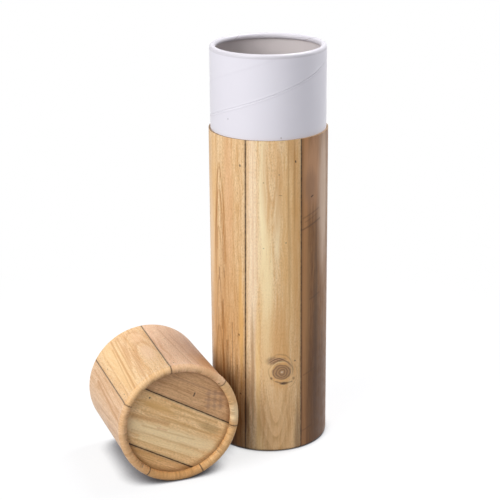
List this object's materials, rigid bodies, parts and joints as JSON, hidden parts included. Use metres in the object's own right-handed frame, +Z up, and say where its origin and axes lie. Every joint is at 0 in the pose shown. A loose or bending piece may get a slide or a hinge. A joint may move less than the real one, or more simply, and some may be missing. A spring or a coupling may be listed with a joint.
{
  "type": "gift tube",
  "caption": "Rolled-board gift tube for one wine bottle, with a white neck, a wood-plank print and a deep push-on lid lying beside it.",
  "frame": {"origin": "the middle of the tube's foot, on the surface that it stands on", "axes": "+Z up along the tube's axis, -Y towards the viewer, +X to the viewer's right"},
  "size_m": [0.1855, 0.1531, 0.312],
  "materials": {
    "plank_print": "satin printed paper with a plank pattern",
    "white_paper": "smooth white paper with a low sheen",
    "lining_paper": "matt pale grey paper",
    "grey_board": "matt grey-brown board"
  },
  "bodies": {
    "tube": {"sleeve_wrap": "plank_print", "sleeve_tube": "grey_board", "foot_disc": "grey_board", "foot_disc_print": "plank_print", "neck_white_ply": "white_paper", "neck_tube": "grey_board", "neck_lining": "lining_paper"},
    "lid": {"lid_wrap": "plank_print", "lid_tube": "grey_board", "lid_lining": "lining_paper", "lid_disc": "grey_board", "lid_disc_print": "plank_print"}
  },
  "joints": [
    {"name": "lid_lift", "type": "slide", "parent": "tube", "child": "lid", "axis": [0, 0, 1], "range_m": [0, 0.32]}
  ]
}
